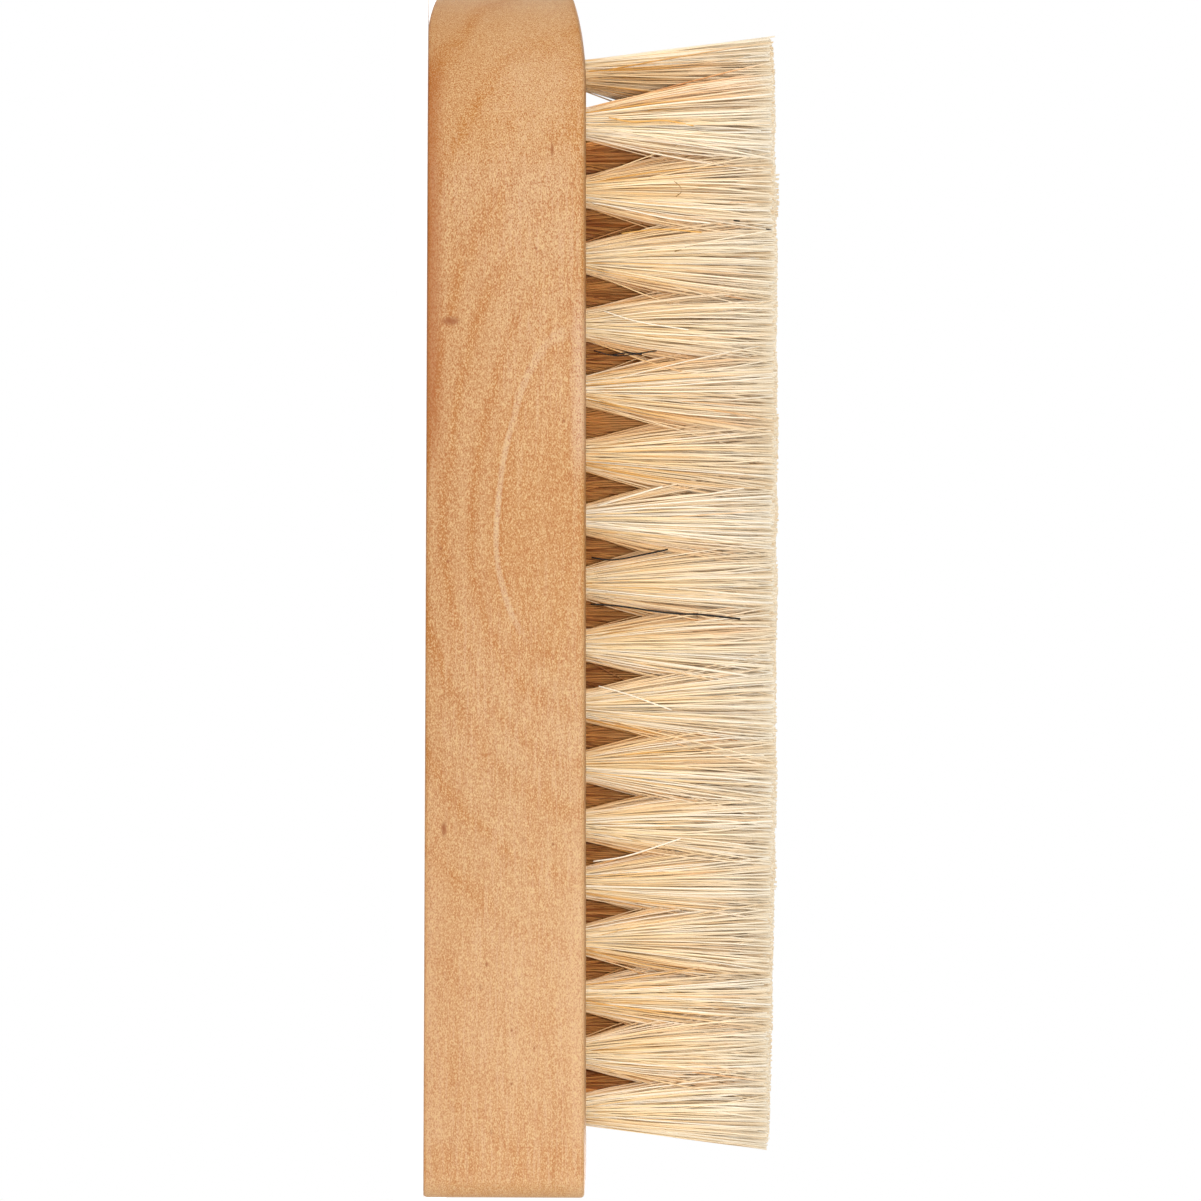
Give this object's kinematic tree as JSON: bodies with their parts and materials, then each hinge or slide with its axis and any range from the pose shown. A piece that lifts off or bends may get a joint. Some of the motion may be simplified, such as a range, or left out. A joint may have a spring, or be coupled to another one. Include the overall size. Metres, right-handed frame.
{
  "type": "clothes brush",
  "caption": "Handle-less clothes brush: thick flat wooden block with a rounded nose and a square end, and staggered rows of natural bristle tufts on one face.",
  "frame": {"origin": "middle of the footprint, on the flat back that the brush lies on", "axes": "+X along the length towards the square end, +Z the way the bristles point, +Y across the width towards the rear row"},
  "size_m": [0.17, 0.052, 0.0494],
  "materials": {
    "wood": "satin, smoothly sanded pale fruitwood with fine flecks and an oval growth-ring figure",
    "bristle": "matt to silky natural bristle, straw coloured at the root and paler at the tips",
    "anchor_wire": "plain drawn wire"
  },
  "bodies": {
    "root": {"block": "wood", "fourth_row_tufts": "bristle", "front_row_tuft_01": "bristle", "front_row_tuft_02": "bristle", "front_row_tuft_03": "bristle", "front_row_tuft_04": "bristle", "front_row_tuft_05": "bristle", "front_row_tuft_06": "bristle", "front_row_tuft_07": "bristle", "front_row_tuft_08": "bristle", "front_row_tuft_09": "bristle", "front_row_tuft_10": "bristle", "front_row_tuft_11": "bristle", "front_row_tuft_12": "bristle", "front_row_tuft_13": "bristle", "front_row_tuft_14": "bristle", "front_row_tuft_15": "bristle", "front_row_tuft_16": "bristle", "front_row_tuft_17": "bristle", "middle_row_tuft_01": "bristle", "middle_row_tuft_02": "bristle", "middle_row_tuft_03": "bristle", "middle_row_tuft_04": "bristle", "middle_row_tuft_05": "bristle", "middle_row_tuft_06": "bristle", "middle_row_tuft_07": "bristle", "middle_row_tuft_08": "bristle", "middle_row_tuft_09": "bristle", "middle_row_tuft_10": "bristle", "middle_row_tuft_11": "bristle", "middle_row_tuft_12": "bristle", "middle_row_tuft_13": "bristle", "middle_row_tuft_14": "bristle", "middle_row_tuft_15": "bristle", "middle_row_tuft_16": "bristle", "middle_row_tuft_17": "bristle", "middle_row_tuft_18": "bristle", "rear_row_tuft_01": "bristle", "rear_row_tuft_02": "bristle", "rear_row_tuft_03": "bristle", "rear_row_tuft_04": "bristle", "rear_row_tuft_05": "bristle", "rear_row_tuft_06": "bristle", "rear_row_tuft_07": "bristle", "rear_row_tuft_08": "bristle", "rear_row_tuft_09": "bristle", "rear_row_tuft_10": "bristle", "rear_row_tuft_11": "bristle", "rear_row_tuft_12": "bristle", "rear_row_tuft_13": "bristle", "rear_row_tuft_14": "bristle", "rear_row_tuft_15": "bristle", "rear_row_tuft_16": "bristle", "rear_row_tuft_17": "bristle", "second_row_tufts": "bristle"}
  },
  "joints": []
}
